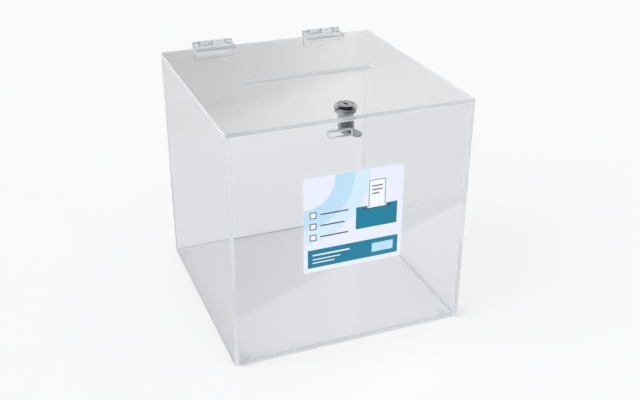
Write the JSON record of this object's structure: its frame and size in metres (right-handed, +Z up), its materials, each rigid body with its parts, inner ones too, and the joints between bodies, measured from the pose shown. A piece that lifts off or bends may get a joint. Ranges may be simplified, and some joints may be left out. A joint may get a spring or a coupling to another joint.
{
  "type": "clear ballot box",
  "caption": "Clear acrylic ballot box: a cube of glued panels with a hinged lid, a long posting slot in the lid, clear leaf hinges and a cam lock.",
  "frame": {"origin": "on the table under the middle of the outline, level with the feet's flat undersides", "axes": "+Z up, -Y towards the labelled front, +X to the right of someone facing the front"},
  "size_m": [0.25, 0.2572, 0.26],
  "materials": {
    "clear_acrylic": "polished clear sheet",
    "clear_rubber": "clear soft bumper",
    "label_paper": "printed satin paper",
    "chrome_plate": "bright plated",
    "zinc_steel": "zinc plated",
    "brass": "stamped",
    "spring_steel": "drawn wire"
  },
  "bodies": {
    "box": {"base_panel": "clear_acrylic", "front_wall": "clear_acrylic", "back_wall": "clear_acrylic", "left_wall": "clear_acrylic", "right_wall": "clear_acrylic", "foot_front_left": "clear_rubber", "foot_front_right": "clear_rubber", "foot_back_left": "clear_rubber", "foot_back_right": "clear_rubber", "lock_keeper": "clear_acrylic", "front_label": "label_paper", "hinge_left_wall_leaf": "clear_acrylic", "hinge_left_pin": "clear_acrylic", "hinge_right_wall_leaf": "clear_acrylic", "hinge_right_pin": "clear_acrylic"},
    "lid": {"lid_panel": "clear_acrylic", "hinge_left_lid_leaf": "clear_acrylic", "hinge_right_lid_leaf": "clear_acrylic", "lock_housing": "chrome_plate", "lock_nut": "chrome_plate"},
    "lock_core": {"lock_plug": "chrome_plate", "lock_stop_washer": "zinc_steel", "lock_cam": "chrome_plate", "lock_spring_washer": "zinc_steel", "lock_cam_screw": "zinc_steel", "wafer_1": "brass", "wafer_2": "brass", "wafer_3": "brass", "wafer_4": "brass", "wafer_spring_1": "spring_steel", "wafer_spring_2": "spring_steel", "wafer_spring_3": "spring_steel", "wafer_spring_4": "spring_steel"}
  },
  "joints": [
    {"name": "lid_hinge", "type": "hinge", "parent": "box", "child": "lid", "pos_m": [0, 0.1252, 0.2566], "axis": [-1, 0, 0], "range_deg": [0, 265]},
    {"name": "lock_turn", "type": "hinge", "parent": "lid", "child": "lock_core", "pos_m": [0, -0.1033, 0.2531], "axis": [0, 0, 1], "range_deg": [-60, 30]}
  ]
}
